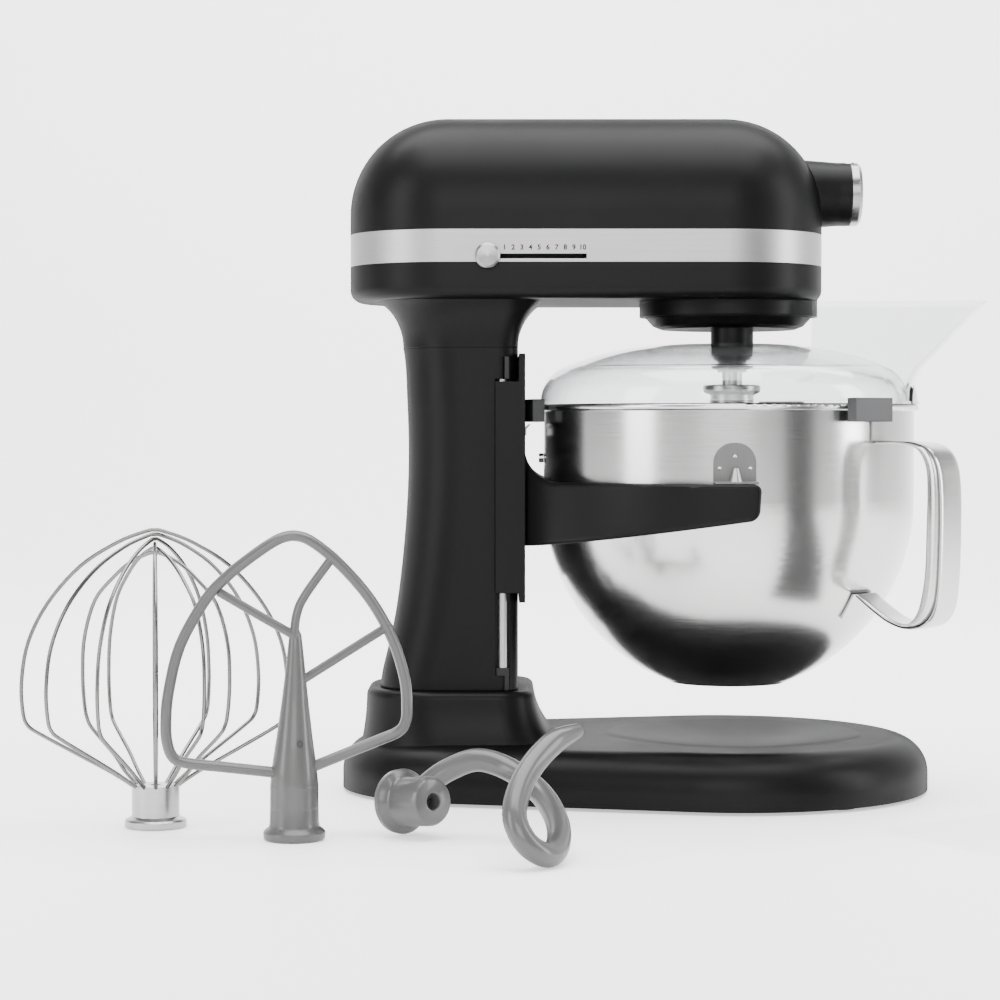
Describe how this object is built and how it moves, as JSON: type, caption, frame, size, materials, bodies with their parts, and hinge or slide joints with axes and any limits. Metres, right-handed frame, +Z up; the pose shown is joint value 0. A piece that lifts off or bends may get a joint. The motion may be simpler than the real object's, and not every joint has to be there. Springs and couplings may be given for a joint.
{
  "type": "bowl-lift stand mixer",
  "caption": "Bowl-lift stand mixer with planetary beater drive, steel bowl with handle, clear pouring shield, power take-off hub, and a loose wire whip, flat beater and dough hook.",
  "frame": {"origin": "on the table, under the vertical axis of the bowl and of the planetary drive", "axes": "+X to the front of the mixer, where the power hub points; +Z up"},
  "size_m": [0.5746, 0.4543, 0.4188],
  "materials": {
    "satin_black": "satin",
    "trim_steel": "satin",
    "bowl_steel": "polished",
    "clear_plastic": "clear gloss",
    "soft_grip": "matte",
    "rubber": "matte",
    "steel": "satin",
    "gear_steel": "satin",
    "bronze": "satin",
    "carbon": "matte",
    "dark_plastic": "semi-gloss",
    "silver_trim": "polished",
    "cast_alloy": "satin",
    "board_green": "matte",
    "collar_grey": "satin",
    "wire_steel": "polished",
    "coated_grey": "satin"
  },
  "bodies": {
    "stand": {"base_casting": "satin_black", "rubber_feet": "rubber", "bottom_plate": "steel", "column_housing": "satin_black", "guide_rails": "steel", "rail_seats": "dark_plastic", "slot_liners": "dark_plastic", "head_cover": "satin_black", "trim_band": "trim_steel", "gear_housing": "satin_black", "gear_frame": "cast_alloy", "frame_screws": "steel", "shaft_bushes": "bronze", "stator": "gear_steel", "motor_brushes": "carbon", "motor_bearings": "steel", "motor_bracket": "steel", "motor_cradle": "steel", "ring_gear": "gear_steel", "hub_liner": "steel", "hub_cover_pin": "steel", "control_board": "board_green"},
    "planetary": {"crown_wheel": "gear_steel", "drive_shaft": "steel", "planet_carrier": "satin_black", "beater_bush": "bronze"},
    "beater": {"beater_shaft": "steel", "planet_pinion": "gear_steel", "shaft_collar": "collar_grey", "drive_pin": "steel", "fitted_whisk_hub": "cast_alloy", "fitted_whisk_wires": "wire_steel"},
    "layshaft_set": {"layshaft": "steel", "layshaft_gear": "gear_steel", "layshaft_pinion": "gear_steel"},
    "motor_rotor": {"motor_shaft": "steel", "armature_core": "gear_steel", "commutator": "bronze", "cooling_fan": "dark_plastic", "motor_pinion": "gear_steel"},
    "power_takeoff": {"hub_shaft": "steel", "hub_pinion": "gear_steel", "drive_socket": "steel"},
    "hub_cap": {"hub_cover": "silver_trim"},
    "hub_screw": {"hub_thumb_screw": "dark_plastic"},
    "speed_control": {"speed_knob": "silver_trim", "speed_stem": "silver_trim", "speed_slider": "dark_plastic"},
    "lift": {"bowl_yoke": "satin_black", "locating_pins": "steel", "slide_bushes": "bronze", "spring_clip": "steel", "bowl": "bowl_steel", "bowl_brackets": "steel", "bowl_rear_stud": "bowl_steel", "bowl_handle": "bowl_steel", "pouring_shield": "clear_plastic", "rim_clips": "soft_grip"},
    "lever": {"lift_lever": "dark_plastic", "lever_shaft": "steel", "lever_crank": "steel"},
    "loose_whisk": {"whisk_hub": "cast_alloy", "whisk_wires": "wire_steel"},
    "loose_beater": {"flat_beater": "coated_grey"},
    "loose_hook": {"dough_hook": "coated_grey"}
  },
  "joints": [
    {"name": "planetary_spin", "type": "hinge", "parent": "stand", "child": "planetary", "pos_m": [0, 0, 0.3], "axis": [0, 0, 1], "continuous": true},
    {"name": "beater_spin", "type": "hinge", "parent": "planetary", "child": "beater", "pos_m": [0, -0.028, 0.28], "axis": [0, 0, 1], "continuous": true},
    {"name": "layshaft_spin", "type": "hinge", "parent": "stand", "child": "layshaft_set", "pos_m": [-0.06, 0, 0.373], "axis": [1, 0, 0], "continuous": true},
    {"name": "takeoff_spin", "type": "hinge", "parent": "stand", "child": "power_takeoff", "pos_m": [0.04, 0, 0.373], "axis": [1, 0, 0], "continuous": true},
    {"name": "motor_spin", "type": "hinge", "parent": "stand", "child": "motor_rotor", "pos_m": [-0.1, 0, 0.3405], "axis": [1, 0, 0], "continuous": true},
    {"name": "hub_cover_hinge", "type": "hinge", "parent": "stand", "child": "hub_cap", "pos_m": [0.0769, 0, 0.3913], "axis": [0, -1, 0], "range_deg": [0, 100]},
    {"name": "hub_screw_turn", "type": "hinge", "parent": "stand", "child": "hub_screw", "pos_m": [0.062, 0.03, 0.373], "axis": [0, 1, 0], "range_deg": [0, 720]},
    {"name": "speed_slide", "type": "slide", "parent": "stand", "child": "speed_control", "axis": [1, 0, 0], "range_m": [0, 0.053]},
    {"name": "bowl_lift", "type": "slide", "parent": "stand", "child": "lift", "axis": [0, 0, 1], "range_m": [-0.0375, 0]},
    {"name": "lift_lever_turn", "type": "hinge", "parent": "stand", "child": "lever", "pos_m": [-0.158, 0.05, 0.215], "axis": [0, -1, 0], "range_deg": [0, 90]},
    {"name": "lift_off_whisk", "type": "slide", "parent": "stand", "child": "loose_whisk", "axis": [0, 0, 1], "range_m": [0, 0.06]},
    {"name": "lift_off_beater", "type": "slide", "parent": "stand", "child": "loose_beater", "axis": [0, 0, 1], "range_m": [0, 0.06]},
    {"name": "lift_off_hook", "type": "slide", "parent": "stand", "child": "loose_hook", "axis": [0.75, -0.433, 0.5], "range_m": [0, 0.06]}
  ],
  "couplings": [
    {"joint": "beater_spin", "follows": "planetary_spin", "ratio": -3.6667},
    {"joint": "layshaft_spin", "follows": "planetary_spin", "ratio": -3},
    {"joint": "takeoff_spin", "follows": "planetary_spin", "ratio": 3},
    {"joint": "motor_spin", "follows": "planetary_spin", "ratio": 10},
    {"joint": "lift_lever_turn", "follows": "bowl_lift", "rad_per_m": -40.59}
  ]
}
